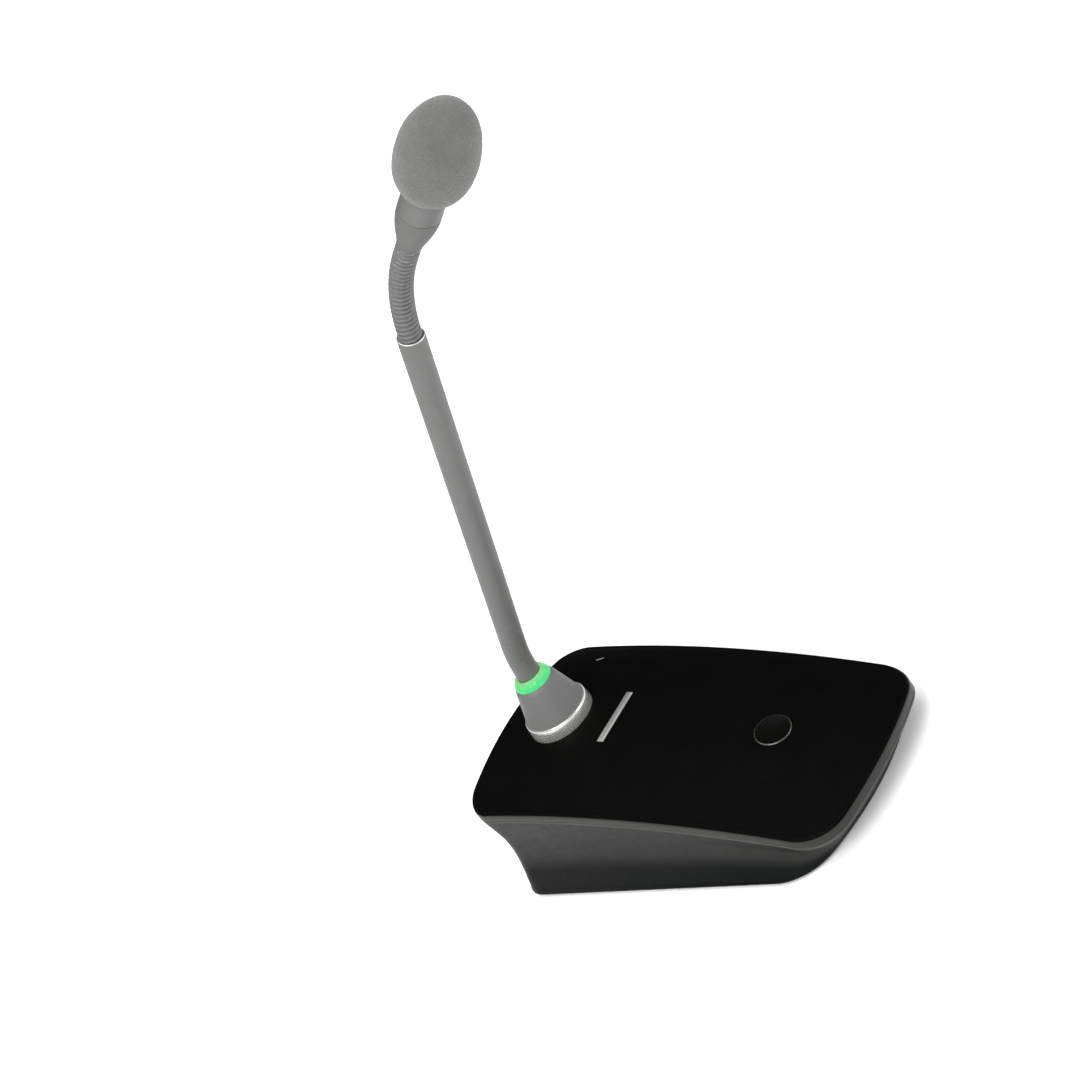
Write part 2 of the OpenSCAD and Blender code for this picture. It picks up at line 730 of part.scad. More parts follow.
module head_board() {
    color("darkgreen") on_neck(upper_end) translate([-3, -0.4, boot_end - 3.85])
        cube([6, 0.8, 11]);
}

module capsule() {
    color("silver") on_neck(upper_end) difference() {
        translate([0, 0, barrel_end - 6.9]) cylinder(r = 4.65, h = 5.5);
        translate([0, 0, barrel_end - 2]) cylinder(r = 1, h = 2);
    }
}

module capsule_grille() {
    color("gray") on_neck(upper_end) difference() {
        union() {
            translate([0, 0, barrel_end + gap]) cylinder(r = 5.15, h = 1.2);
            translate([0, 0, barrel_end - 1.2]) cylinder(r = 4.65, h = 1.5);
        }
        for (x = [-3.2:1.6:3.2]) translate([x - 0.35, -3, barrel_end - 2]) cube([0.7, 6, 5]);
    }
}

// Foam ball, a little fuller at its open end, with a bore that grips the head.
module windscreen() {
    color("gray") on_neck(upper_end) difference() {
        translate([0, 0, foam_start + foam_len/2]) foam_shape();
        translate([0, 0, foam_start - 2]) cylinder(r = 5.5, h = 14.4);
    }
}

// Egg of revolution, half-length foam_len/2 and radius about foam_r.
module foam_shape() {
    n = 24;
    a = foam_len/2;
    rotate_extrude($fn = 96) polygon([for (i = [0:n])
        let (b = -90 + 180*i/n) [max(0, foam_r*cos(b)*(1 - 0.06*sin(b))), a*sin(b)]]);
}

top_cover();
lower_shell();
base_plate();
rubber_rim();
case_screws();
steel_weight();
main_board();
board_screws();
radio_shield();
antennas();
battery_pack();
battery_contacts();
battery_door();
door_pin();
charge_contacts();
power_switch_body();
power_switch_knob();
mute_button();
switch_plunger();
switch_body();
switch_board();
switch_ribbon();
status_light_pipe();
name_bar();
socket_ring();
neck_socket();
socket_nut();
socket_contacts();
collar_cone();
plug_body();
plug_pins();
light_board();
light_ring();
neck_foot();
lower_link(1);  // lower_link_1
lower_link(2);  // lower_link_2
lower_link(3);  // lower_link_3
lower_link(4);  // lower_link_4
lower_link(5);  // lower_link_5
tube_socket_end();
neck_tube();
neck_cable();
tube_lip();
tube_ball_end();
upper_link(1);  // upper_link_1
upper_link(2);  // upper_link_2
upper_link(3);  // upper_link_3
upper_link(4);  // upper_link_4
upper_link(5);  // upper_link_5
upper_link(6);  // upper_link_6
upper_link(7);  // upper_link_7
upper_link(8);  // upper_link_8
upper_link(9);  // upper_link_9
head_boot();
head_barrel();
head_board();
capsule();
capsule_grille();
windscreen();
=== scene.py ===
"""Looks of a desktop gooseneck microphone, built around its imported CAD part."""

import json
import math

import bmesh
import bpy
import numpy as np
from mathutils import Matrix, Vector, noise
from mathutils.geometry import delaunay_2d_cdt


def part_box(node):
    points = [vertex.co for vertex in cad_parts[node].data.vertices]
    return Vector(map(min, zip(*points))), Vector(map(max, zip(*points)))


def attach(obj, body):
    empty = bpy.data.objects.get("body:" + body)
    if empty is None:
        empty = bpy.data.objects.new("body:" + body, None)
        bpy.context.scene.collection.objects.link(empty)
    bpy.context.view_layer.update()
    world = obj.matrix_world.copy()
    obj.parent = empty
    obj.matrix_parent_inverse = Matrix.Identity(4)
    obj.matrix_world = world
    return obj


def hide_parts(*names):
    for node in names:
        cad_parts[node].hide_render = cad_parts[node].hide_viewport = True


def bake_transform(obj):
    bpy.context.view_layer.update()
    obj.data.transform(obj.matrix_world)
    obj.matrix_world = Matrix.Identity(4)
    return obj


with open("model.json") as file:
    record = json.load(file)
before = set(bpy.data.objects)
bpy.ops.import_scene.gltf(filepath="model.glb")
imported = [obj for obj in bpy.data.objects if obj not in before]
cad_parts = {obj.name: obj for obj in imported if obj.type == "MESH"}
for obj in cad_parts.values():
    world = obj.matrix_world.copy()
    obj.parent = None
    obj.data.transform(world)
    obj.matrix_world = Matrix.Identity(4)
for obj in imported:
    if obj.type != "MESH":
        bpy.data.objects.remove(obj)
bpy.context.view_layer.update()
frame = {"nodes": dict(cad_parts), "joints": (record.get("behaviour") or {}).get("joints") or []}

MM = 0.001
JOINTS = {joint["name"]: joint for joint in frame["joints"]}


# ---------------------------------------------------------------- frames and dimensions


def pivot(name):
    return Vector(JOINTS[name]["pos_m"])


def axis_of(name):
    return Vector(JOINTS[name]["axis"]).normalized()


def centre(node):
    low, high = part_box(node)
    return (low + high) / 2


def frame_at(origin, z_axis):
    """Frame with its x axis along the part's +X and its z axis along z_axis."""
    z = z_axis.normalized()
    x = Vector((1, 0, 0))
    y = z.cross(x)
    matrix = Matrix((x, y, z)).transposed().to_4x4()
    matrix.translation = origin
    return matrix


# The cover's frame: its origin is where the neck's axis meets the cover's surface.
PIN_DEPTH = 12 * MM
COLLAR_AXIS = axis_of("neck_unplug")
COLLAR = frame_at(centre("plug_pins") + PIN_DEPTH * COLLAR_AXIS, COLLAR_AXIS)

# Base, in millimetres, as in the CAD part.
ARCH_R, CROWN_R = 459, 111
COVER = {"w_rear": 34.8, "w_front": 32, "rear": 22.9, "front": -110.5, "r_rear": 9, "r_front": 14.5}
FOOT = {"w_rear": 37.5, "w_front": 36.4, "rear": 63.25, "front": -63.25, "r_rear": 10, "r_front": 15.5}
BOW_R = 78
COVER_T, WALL, BAND_H, SEAM = 2.2, 2.0, 2.8, 0.15
FOOT_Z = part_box("lower_shell")[0].z / MM
EDGE_R = 1.2
BUTTON_Y, BUTTON_R, BUTTON_GAP = -76.9, 5.6, 0.15
LIGHT_AT, LIGHT_LEN, LIGHT_W, LIGHT_TURN = (26.0, 2.6), 2.7, 0.7, math.radians(-61)
BAR_Y, BAR_LEN, BAR_W, BAR_CORNER = -21.6, 19.4, 2.3, 0.2
RING_R, RING_H, RING_BORE, RING_GAP = 10.75, 3.75, 8.2, 0.05

# The shell's side. Its waist is WAIST_IN deep and ends at the height share WAIST_END; at the share
# KNEE the gentle slope turns into the flare.
WAIST_IN, WAIST_END, WAIST_POWER = 1.7, 0.98, 1.3
KNEE, KNEE_SLOPE, FLARE_POWER = 0.3, 0.35, 1.25

# Points on half the rear edge and on a side; steps round a rear corner, a front corner, half the bow.
REAR_STEPS, SIDE_STEPS = 12, 50
CORNER_STEPS, FRONT_STEPS, BOW_STEPS = 18, 22, 12

# Steps round the cover's rounded edge, and the step at which its band starts; the band is painted paler
# than the top, as painted light on the cover's side.
EDGE_STEPS, BAND_STEP = 8, 6

# Collar and neck, in millimetres.
CONE_TOP, CONE_TOP_R, CONE_FOOT_R = 15.6, 6.5, 9.75
LIGHT_TOP, LIGHT_R, LIGHT_TOP_R = 18.6, 6.05, 4.6
TUBE_R, TUBE_BORE, FLEX_R, FLEX_BORE, BEND_R = 3.75, 3.0, 3.15, 2.3, 38.3
LOWER_N, UPPER_N = 6, 10
LIP_BELOW_FLEX, LIP_R = 1.8, 3.56
RIBS_PER_LINK, GROOVE_R, RIB_H, RIB_NARROW = 2, FLEX_R - 0.55, 0.57, 2.8

# Head, in millimetres along its axis from the top hinge.
BOOT_START, BOOT_END, BARREL_END = 4.8, 17.75, 32.4
FOAM_START, FOAM_LEN, FOAM_R, FOAM_BORE = 22.3, 31.9, 9.75, 5.5
FOAM_LUMPS = ((160, 0.16), (1100, 0.05))  # Each as its noise scale and its height.

# Sizes, in millimetres, of the mottling and of the smudges on plastic and paint.
MOTTLE_MM, SMUDGE_MM = 9, 2.5

# Camera: its axes, and its place as seen from the collar, in millimetres.
CAMERA_BACK = Vector((-0.53701, -0.75949, 0.36716))
CAMERA_RIGHT = Vector((0.47476, -0.63187, -0.61265))
CAMERA_FROM_COLLAR = Vector((-288.6, -459.85, 260.9))


# ---------------------------------------------------------------- meshes


def add_mesh(name, verts, faces, material, matrix=None, sharp=50):
    """Smooth-shaded mesh object from points in millimetres of the given frame. Edges that turn by
    more than sharp, in degrees, stay crisp."""
    mesh = bpy.data.meshes.new(name)
    mesh.from_pydata([tuple(v) for v in verts], [], [tuple(int(i) for i in f) for f in faces])
    mesh.transform(Matrix.Scale(MM, 4))
    if matrix is not None:
        mesh.transform(matrix)
    mesh.validate()
    mesh.polygons.foreach_set("use_smooth", [True] * len(mesh.polygons))
    mesh.set_sharp_from_angle(angle=math.radians(sharp))
    mesh.materials.append(material)
    obj = bpy.data.objects.new(name, mesh)
    bpy.context.scene.collection.objects.link(obj)
    return obj


def face_outward(obj):
    """Turns every face of a closed mesh outward."""
    bm = bmesh.new()
    bm.from_mesh(obj.data)
    bmesh.ops.recalc_face_normals(bm, faces=bm.faces)
    bm.to_mesh(obj.data)
    bm.free()


def ring_faces(m, n, wrap):
    """Quads that join m rings of n points each. wrap also joins the last ring to the first."""
    faces = []
    for j in range(m if wrap else m - 1):
        a, b = j * n, (j + 1) % m * n
        for i in range(n):
            k = (i + 1) % n
            faces.append((a + i, a + k, b + k, b + i))
    return faces


def stacked(name, rings, material, matrix=None, hollow=False, sharp=50):
    """Closed mesh over rings of equally many points: capped at both ends or, when hollow, with its
    last ring joined to its first."""
    n = len(rings[0])
    faces = ring_faces(len(rings), n, hollow)
    if not hollow:
        last = (len(rings) - 1) * n
        faces += [tuple(reversed(range(n))), tuple(range(last, last + n))]
    obj = add_mesh(name, [p for ring in rings for p in ring], faces, material, matrix, sharp)
    face_outward(obj)
    return obj


def lathe(name, profile, matrix, material, segments=128, sharp=50):
    """Solid of revolution about z. The profile is a closed loop of (r, z) points; a loop that starts
    and ends on the axis gets a single point there."""
    capped = profile[0][0] == 0 and profile[-1][0] == 0
    body = profile[1:-1] if capped else profile
    turn = np.linspace(0, 2 * math.pi, segments, endpoint=False)
    verts = [(r * math.cos(a), r * math.sin(a), z) for r, z in body for a in turn]
    faces = ring_faces(len(body), segments, not capped)
    if capped:
        low, high, last = len(verts), len(verts) + 1, (len(body) - 1) * segments
        verts += [(0, 0, profile[0][1]), (0, 0, profile[-1][1])]
        for i in range(segments):
            k = (i + 1) % segments
            faces += [(low, k, i), (high, last + i, last + k)]
    return add_mesh(name, verts, faces, material, matrix, sharp)


def rounded(points, radii, steps=6):
    """The polyline with each corner i turned into an arc of about radii[i]."""
    longest = 0.49  # Share of a side that an arc may take up.
    out = []
    for i, point in enumerate(points):
        radius = radii.get(i, 0)
        if not radius:
            out.append(point)
            continue
        p = Vector(point)
        before = Vector(points[i - 1]) - p
        after = Vector(points[(i + 1) % len(points)]) - p
        half = before.angle(after) / 2
        reach = min(radius / math.tan(half), before.length * longest, after.length * longest)
        start, end = p + before.normalized() * reach, p + after.normalized() * reach
        for k in range(steps + 1):
            t = k / steps
            q = start * (1 - t) ** 2 + p * 2 * t * (1 - t) + end * t**2
            out.append((q.x, q.y))
    return out


def fillet(radius, steps, first=0):
    """Inset and drop at the steps of a rounded edge, from the flat face to the side."""
    turns = [math.pi / 2 * k / steps for k in range(first, steps + 1)]
    return [(radius * (1 - math.sin(a)), radius * (1 - math.cos(a))) for a in turns]


# ---------------------------------------------------------------- base curves


def arc(cx, cy, r, a0, a1, n):
    """Points of an arc in n steps, from a0 to a1 degrees."""
    turns = [math.radians(a0 + (a1 - a0) * i / n) for i in range(n + 1)]
    return [(cx + r * math.cos(a), cy + r * math.sin(a)) for a in turns]


def circle(r, n):
    return arc(0, 0, r, 0, 360, n)[:-1]


def between(p, q, n):
    """The n points that divide the way from p to q evenly, without p and q."""
    return [(p[0] + (q[0] - p[0]) * i / (n + 1), p[1] + (q[1] - p[1]) * i / (n + 1))
            for i in range(1, n + 1)]


def outline(shape, inset):
    """The tapered, rounded outline of the cover or the footprint, moved inward by inset."""
    wr, wf = shape["w_rear"] - inset, shape["w_front"] - inset
    yr, yf = shape["rear"] - inset, shape["front"] + inset
    rr, rf = shape["r_rear"] - inset, shape["r_front"] - inset
    cx, bow_y = wf - rf, yf + BOW_R
    cy = bow_y - math.sqrt((BOW_R - rf) ** 2 - cx**2)
    a = math.degrees(math.atan2(cx, bow_y - cy))
    rear = arc(wr - rr, yr - rr, rr, 90, 0, CORNER_STEPS)
    front = arc(cx, cy, rf, 0, a - 90, FRONT_STEPS)
    turns = [math.radians(a * i / BOW_STEPS) for i in range(BOW_STEPS - 1, 0, -1)]
    bow = [(BOW_R * math.sin(turn), bow_y - BOW_R * math.cos(turn)) for turn in turns]
    half = [(0, yr)] + between((0, yr), rear[0], REAR_STEPS) + rear
    half += between(rear[-1], front[0], SIDE_STEPS) + front + bow + [(0, yf)]
    return half + [(-x, y) for x, y in half[-2:0:-1]]


def crown_z(x, y, offset=0.0):
    """Height of the cover's crowned surface, moved outward by offset, in the cover's frame."""
    ring = ARCH_R - CROWN_R + math.sqrt((CROWN_R + offset) ** 2 - x * x)
    return math.sqrt(ring * ring - y * y) - ARCH_R


def on_cover(y):
    """Frame, in millimetres of the cover's frame, that stands square on the surface at y."""
    return Matrix.Translation((0, y, crown_z(0, y))) @ Matrix.Rotation(math.asin(-y / ARCH_R), 4, "X")


def to_part(x, y, z):
    """A point of the cover's frame, in millimetres of the part's frame."""
    p = COLLAR @ (Vector((x, y, z)) * MM)
    return p / MM


# ---------------------------------------------------------------- materials


class Nodes:
    """Short calls that build the nodes of a material or a world."""

    def __init__(self, owner):
        owner.use_nodes = True
        self.tree = owner.node_tree

    def node(self, kind, **values):
        """New node. Each value sets a property or the input of that name, with _ for a space."""
        node = self.tree.nodes.new(kind)
        for key, value in values.items():
            if hasattr(node, key):
                setattr(node, key, value)
            else:
                node.inputs[key.replace("_", " ")].default_value = value
        return node

    def link(self, output, target):
        self.tree.links.new(output, target)

    def feed(self, socket, value):
        """Links an output to the socket, or sets the socket to a colour or a number."""
        if isinstance(value, bpy.types.NodeSocket):
            self.link(value, socket)
        else:
            socket.default_value = (*value, 1) if isinstance(value, tuple) else value

    def ramp(self, value, low, high, out_low, out_high, smooth=False):
        """The value, mapped from low..high to out_low..out_high."""
        node = self.node("ShaderNodeMapRange", interpolation_type="SMOOTHSTEP" if smooth else "LINEAR",
                         From_Min=low, From_Max=high, To_Min=out_low, To_Max=out_high)
        self.link(value, node.inputs["Value"])
        return node.outputs["Result"]

    def choose(self, factor, a, b):
        """Number a where the factor is 0, and b where it is 1."""
        node = self.node("ShaderNodeMix", data_type="FLOAT")
        self.link(factor, node.inputs[0])
        self.feed(node.inputs[2], a)
        self.feed(node.inputs[3], b)
        return node.outputs[0]


class Shader(Nodes):
    """A new node material with its Principled BSDF."""

    def __init__(self, name):
        self.material = bpy.data.materials.new(name)
        super().__init__(self.material)
        self.bsdf = self.tree.nodes["Principled BSDF"]
        self.coords = self.node("ShaderNodeTexCoord").outputs["Object"]

    def noise(self, size_mm, detail=2.0, roughness=0.5, stretch=(1, 1, 1)):
        """Noise whose features are about size_mm across."""
        mapping = self.node("ShaderNodeMapping", Scale=stretch)
        self.link(self.coords, mapping.inputs["Vector"])
        texture = self.node("ShaderNodeTexNoise", Scale=1 / (size_mm * MM), Detail=detail,
                            Roughness=roughness)
        self.link(mapping.outputs["Vector"], texture.inputs["Vector"])
        return texture.outputs["Fac"]

    def cloud(self, size_mm, low, high, detail=3, roughness=0.5):
        """Soft noise that runs from low to high."""
        return self.ramp(self.noise(size_mm, detail, roughness), 0.3, 0.7, low, high)

    def edges(self, amount):
        """Rises to amount on convex edges, and is 0 elsewhere."""
        pointed = self.node("ShaderNodeNewGeometry").outputs["Pointiness"]
        return self.ramp(pointed, 0.52, 0.62, 0, amount)

    def mix(self, factor, a, b):
        """Colour a where the factor is 0, and b where it is 1."""
        node = self.node("ShaderNodeMix", data_type="RGBA")
        self.link(factor, node.inputs[0])
        self.feed(node.inputs[6], a)
        self.feed(node.inputs[7], b)
        return node.outputs[2]

    def bump(self, height, depth_mm, normal=None):
        node = self.node("ShaderNodeBump", Distance=depth_mm * MM, Strength=1.0)
        self.link(height, node.inputs["Height"])
        if normal is not None:
            self.link(normal, node.inputs["Normal"])
        return node.outputs["Normal"]

    def set(self, **values):
        for key, value in values.items():
            self.feed(self.bsdf.inputs[key.replace("_", " ")], value)


def shade(color, amount):
    return tuple(c * amount for c in color)


def moulded(name, color, rough, grain_mm, grain_depth, specular=0.5, mottle=0.12, pale_edge=0.25):
    """Moulded or painted surface: fine grain, faint mottling, paler edges as wear and, when strong, a
    painted highlight.
    """
    s = Shader(name)
    pale = tuple(min(1.0, c * 2.2 + 0.02) for c in color)
    base = s.mix(s.cloud(MOTTLE_MM, 0, 1), shade(color, 1 - mottle), shade(color, 1 + mottle))
    s.set(Base_Color=s.mix(s.edges(pale_edge), base, pale), Specular_IOR_Level=specular)
    s.set(Roughness=s.cloud(SMUDGE_MM, rough - 0.05, rough + 0.05, 4, 0.6))
    s.set(Normal=s.bump(s.noise(grain_mm, 4, 0.6), grain_depth))
    return s.material


def metal(name, color, rough, scratch_mm=0.25, scratch_depth=0.001, smudge=0.05, metallic=1.0):
    """Bare or plated metal with faint scratches and smudges."""
    s = Shader(name)
    lines = s.noise(scratch_mm, 5, 0.65, stretch=(1, 1, 0.15))
    smudges = s.ramp(s.noise(4, 4), 0.35, 0.7, rough, rough + smudge)
    tint = s.mix(s.cloud(6, 0, 1, detail=2), shade(color, 0.94), color)
    s.set(Base_Color=tint, Metallic=metallic, Roughness=smudges, Normal=s.bump(lines, scratch_depth))
    return s.material


def lit_ring(name):
    """Frosted plastic, lit green from inside, warmer and paler towards its inner edge."""
    s = Shader(name)
    unlit, rim_green, inner_green = (0.03, 0.14, 0.06), (0.03, 0.60, 0.17), (0.24, 0.50, 0.17)
    reach = s.node("ShaderNodeVectorMath", operation="DISTANCE")
    s.link(s.coords, reach.inputs[0])
    reach.inputs[1].default_value = COLLAR @ Vector((0, 0, LIGHT_TOP * MM))
    inner = s.ramp(reach.outputs["Value"], 4.2 * MM, 6.2 * MM, 1, 0)
    s.set(Base_Color=unlit, Roughness=0.45, Specular_IOR_Level=0.25)
    s.set(Emission_Color=s.mix(inner, rim_green, inner_green), Emission_Strength=s.cloud(1.6, 0.82, 1.1))
    s.set(Normal=s.bump(s.noise(0.3, 3), 0.004))
    return s.material


def foam_rubber(name):
    """Open-cell foam: dense pores about 0.4 mm across, soft mottling and a little sheen."""
    s = Shader(name)
    color, pore_mm = (0.112, 0.115, 0.110), 0.42
    cells = s.node("ShaderNodeTexVoronoi", Scale=1 / (pore_mm * MM), feature="F1")
    s.link(s.coords, cells.inputs["Vector"])
    pores = s.ramp(cells.outputs["Distance"], 0.15, 0.75, 0, 1)
    base = s.mix(s.cloud(5, 0, 1), shade(color, 0.92), shade(color, 1.06))
    # Painted shade: the pores are painted darker, as shade inside them.
    base = s.mix(s.ramp(pores, 0, 1, 0, 0.28), base, shade(color, 0.45))
    s.set(Base_Color=base, Roughness=0.95, Specular_IOR_Level=0.15)
    s.set(Sheen_Weight=0.25, Sheen_Roughness=0.5)
    s.set(Normal=s.bump(s.noise(0.18, 4, 0.7), 0.05, s.bump(pores, -0.10)))
    return s.material


def circuit(name, color):
    """Solder mask over fine copper tracks."""
    s = Shader(name)
    bricks = s.node("ShaderNodeTexBrick", Scale=1 / (4 * MM))
    s.link(s.coords, bricks.inputs["Vector"])
    tracks = bricks.outputs["Fac"]
    s.set(Base_Color=s.mix(tracks, color, shade(color, 1.7)), Roughness=0.35)
    s.set(Normal=s.bump(tracks, 0.03))
    return s.material


def shell_plastic(name):
    """Satin charcoal plastic: parting line at the top paler as a painted highlight, flared foot darker
    as painted shade.
    """
    s = Shader(name)
    dark, light, foot = (0.0105, 0.0108, 0.0098), (0.0165, 0.0168, 0.0155), (0.0036, 0.0048, 0.0042)
    pale_edge, painted_parting_highlight = (0.045, 0.045, 0.043), (0.10, 0.10, 0.095)
    share = s.node("ShaderNodeAttribute", attribute_name="height_share").outputs["Fac"]
    # Painted shade: the side is painted darker and less glossy towards the bottom, on the flared foot.
    low = s.ramp(share, 0.50, 0.74, 0, 0.85, smooth=True)
    base = s.mix(s.cloud(MOTTLE_MM, 0, 0.12), dark, light)
    base = s.mix(low, base, foot)
    base = s.mix(s.edges(0.25), base, pale_edge)
    # Painted highlight: a paler line along the shell's top edge, under the cover's band.
    base = s.mix(s.ramp(share, 0, 0.008, 0.55, 0), base, painted_parting_highlight)
    s.set(Base_Color=base, Specular_IOR_Level=s.ramp(low, 0, 0.85, 0.2, 0.06))
    s.set(Roughness=s.cloud(SMUDGE_MM, 0.46, 0.54, 4, 0.6), Normal=s.bump(s.noise(0.22, 4, 0.6), 0.010))
    return s.material


GREY = (0.106, 0.109, 0.105)
BLACK = (0.0014, 0.0016, 0.0013)
BUTTON_BLACK = (0.0022, 0.0024, 0.002)
# The cover's own black, painted paler on its side band: painted light on the cover's side.
BAND_PAINTED_LIGHT = (0.018, 0.0181, 0.0165)
MATERIALS = {
    "cover": moulded("cover_black", BLACK, 0.55, 0.16, 0.003, specular=0.025, mottle=0.2, pale_edge=0.02),
    "band": moulded("band_painted_light", BAND_PAINTED_LIGHT, 0.42, 0.2, 0.003, specular=0.25, mottle=0.06, pale_edge=0.3),
    "shell": shell_plastic("shell_charcoal"),
    "underside": moulded("underside_black", (0.012, 0.012, 0.0115), 0.55, 0.3, 0.02, specular=0.4),
    "button": moulded("button_black", BUTTON_BLACK, 0.3, 0.2, 0.002, specular=0.06, pale_edge=0.02),
    # The button's rim is a paler, glossier grey than the button: a painted highlight round its edge,
    # with real gloss.
    "button_rim_highlight": moulded("button_rim_highlight", (0.03, 0.03, 0.028), 0.22, 0.2, 0.001, specular=0.9, pale_edge=0.1),
    "grey": moulded("grey_paint", GREY, 0.5, 0.12, 0.003, specular=0.45, mottle=0.03, pale_edge=0.15),
    "boot": moulded("boot_rubber", shade(GREY, 0.96), 0.62, 0.18, 0.008, specular=0.35, mottle=0.04,
                    pale_edge=0.1),
    # The flex's rib crests are made strongly paler: a painted highlight on each coil.
    "flex": moulded("flex_grey", shade(GREY, 0.9), 0.4, 0.15, 0.004, mottle=0.05, pale_edge=0.6),
    "chrome": metal("chrome", (0.68, 0.68, 0.66), 0.15, 0.2, 0.0006, smudge=0.12, metallic=0.75),
    "bar": metal("bar_satin", (0.50, 0.50, 0.49), 0.38, 0.12, 0.003, metallic=0.8),
    "steel": metal("steel", (0.55, 0.55, 0.54), 0.3, 0.2, 0.004),
    "tin": metal("tin", (0.66, 0.66, 0.64), 0.28, 0.2, 0.003),
    "aluminium": metal("aluminium", (0.72, 0.72, 0.72), 0.33, 0.15, 0.003),
    "gold": metal("gold_plate", (0.83, 0.60, 0.22), 0.2),
    "light": lit_ring("green_light"),
    "foam": foam_rubber("foam_grey"),
    "board": circuit("circuit_board", (0.012, 0.09, 0.035)),
    "battery": moulded("battery_wrap", (0.05, 0.08, 0.15), 0.3, 0.4, 0.004),
    "ribbon": moulded("ribbon_film", (0.45, 0.2, 0.04), 0.35, 0.3, 0.004),
    "white": moulded("white_plastic", (0.62, 0.62, 0.6), 0.45, 0.2, 0.004, mottle=0.03),
    "slit": moulded("slit_diffuser", (0.15, 0.155, 0.15), 0.4, 0.2, 0.002, mottle=0.05),
    "rubber": moulded("foot_rubber", (0.012, 0.012, 0.012), 0.8, 0.3, 0.03, specular=0.3),
    "cable": moulded("cable_jacket", (0.012, 0.012, 0.012), 0.6, 0.3, 0.01),
}


# ---------------------------------------------------------------- cover, with its openings


def stadium(length, width, turn, at, grow, n=10):
    """Loop of a slot with round ends, grown outward by grow."""
    r = width / 2 + grow
    half = (length - width) / 2
    loop = arc(half, 0, r, -90, 90, n) + arc(-half, 0, r, 90, 270, n)
    c, s = math.cos(turn), math.sin(turn)
    return [(at[0] + x * c - y * s, at[1] + x * s + y * c) for x, y in loop]


def rounded_box(length, width, corner, at, grow, n=5):
    """Loop of a box with rounded corners, grown outward by grow."""
    hx, hy, r = length / 2 + grow, width / 2 + grow, corner + grow
    loop = []
    for sx, sy, a in ((1, 1, 0), (-1, 1, 90), (-1, -1, 180), (1, -1, 270)):
        loop += arc(at[0] + sx * (hx - r), at[1] + sy * (hy - r), r, a, a + 90, n)
    return loop


def button_loop(grow):
    """The button's opening, as seen along the cover's axis."""
    turned = on_cover(BUTTON_Y)
    points = [turned @ Vector((x, y, 0)) for x, y in circle(BUTTON_R + BUTTON_GAP + grow, 96)]
    return [(p.x, p.y) for p in points]


OPENINGS = [
    {"loop": button_loop, "round": 0.55},
    {"loop": lambda grow: circle(RING_R + RING_GAP + grow, 128), "round": 0.12},
    {"loop": lambda grow: stadium(LIGHT_LEN, LIGHT_W, LIGHT_TURN, LIGHT_AT, grow), "round": 0.1},
    {"loop": lambda grow: rounded_box(BAR_LEN, BAR_W, BAR_CORNER, (0, BAR_Y), grow), "round": 0.1},
]


def inside(point, loop):
    """Whether a ray from the point crosses the loop an odd number of times."""
    x, y = point
    hit = False
    for (x0, y0), (x1, y1) in zip(loop, loop[1:] + loop[:1]):
        if (y0 > y) != (y1 > y) and x < x0 + (x1 - x0) * (y - y0) / (y1 - y0):
            hit = not hit
    return hit


def far_from(point, loop, distance):
    return all(abs(point[0] - x) > distance or abs(point[1] - y) > distance for x, y in loop)


def fill(loops):
    """Points and triangles that fill the first loop, apart from the holes of the others."""
    step, margin, merge = 1.7, 0.9, 1e-6
    sliver = 0.001  # Twice the area, in square millimetres, below which a triangle is dropped.
    rim, holes = loops[0], loops[1:]

    def solid(point):
        return inside(point, rim) and not any(inside(point, hole) for hole in holes)

    rows = range(math.floor(COVER["front"] / step), math.ceil(COVER["rear"] / step))
    columns = range(-math.ceil(COVER["w_rear"] / step), math.ceil(COVER["w_rear"] / step))
    grid = [(step * (i + 0.5 * (j % 2)), step * j) for j in rows for i in columns]
    grid = [p for p in grid if solid(p) and all(far_from(p, loop, margin) for loop in loops)]
    points, edges = [], []
    for loop in loops:
        first = len(points)
        points += loop
        edges += [(first + i, first + (i + 1) % len(loop)) for i in range(len(loop))]
    flat = [Vector(p) for p in points + grid]
    out, _, triangles, origin, _, _ = delaunay_2d_cdt(flat, edges, [], 0, merge)
    index = {new: olds[0] for new, olds in enumerate(origin) if olds}
    keep = []
    for tri in triangles:
        a, b, c = (out[i] for i in tri)
        if abs((b - a).cross(c - a)) >= sliver and solid((a + b + c) / 3):
            keep.append([index[i] for i in tri])
    return flat, keep


def bridge(verts, faces, start, rings, end):
    """Adds bands of quads from the ring of indices start, over rings of new points, to the ring end."""
    indices = [start]
    for ring in rings:
        indices.append(list(range(len(verts), len(verts) + len(ring))))
        verts.extend(ring)
    indices.append(end)
    for a, b in zip(indices, indices[1:]):
        for i in range(len(a)):
            k = (i + 1) % len(a)
            faces.append((a[i], a[k], b[k], b[i]))


